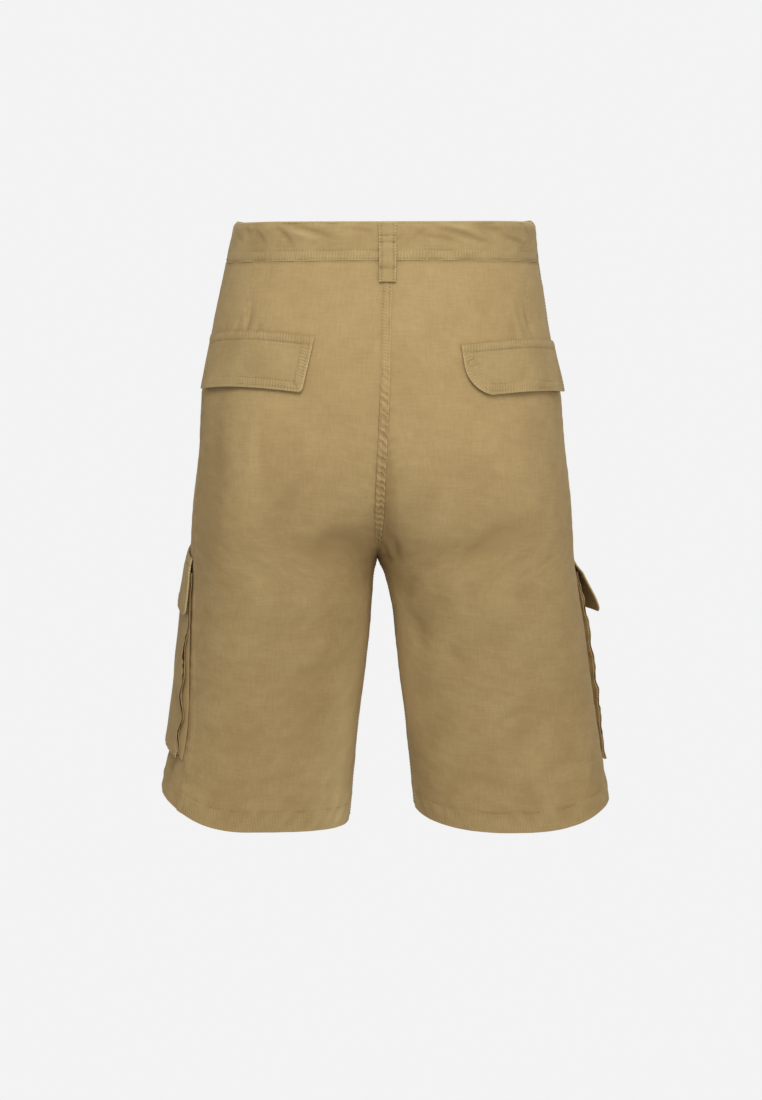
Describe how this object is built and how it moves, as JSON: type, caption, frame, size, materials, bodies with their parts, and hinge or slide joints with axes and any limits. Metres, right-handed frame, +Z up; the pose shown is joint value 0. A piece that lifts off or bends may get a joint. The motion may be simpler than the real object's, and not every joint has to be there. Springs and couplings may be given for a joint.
{
  "type": "cargo shorts",
  "caption": "Knee-length cargo shorts filled out as worn: yokeless seat, flapped back pockets, bellows thigh pockets, buttoned waistband with loops and fly.",
  "frame": {"origin": "middle of the waist opening, 3.5 mm above the waistband's top edge at the sides", "axes": "+Z up, +Y to the wearer's front, +X to the wearer's right"},
  "size_m": [0.4518, 0.2723, 0.6056],
  "materials": {
    "ripstop_cotton": "matt khaki ripstop cotton: plain weave with a faint grid of thicker threads, self-coloured stitching",
    "zip_tape": "matt brown woven zip tape with a closed chain",
    "resin_button": "satin brown resin with four holes"
  },
  "bodies": {
    "root": {"waistband": "ripstop_cotton", "back_left": "ripstop_cotton", "back_right": "ripstop_cotton", "front_left": "ripstop_cotton", "front_right": "ripstop_cotton", "seat_flap_left": "ripstop_cotton", "seat_flap_right": "ripstop_cotton", "cargo_gusset_left": "ripstop_cotton", "cargo_gusset_right": "ripstop_cotton", "cargo_bag_left": "ripstop_cotton", "cargo_bag_right": "ripstop_cotton", "cargo_flap_left": "ripstop_cotton", "cargo_flap_right": "ripstop_cotton", "belt_loop_back": "ripstop_cotton", "belt_loop_left": "ripstop_cotton", "belt_loop_right": "ripstop_cotton", "zip": "zip_tape", "waist_button": "resin_button"}
  },
  "joints": []
}
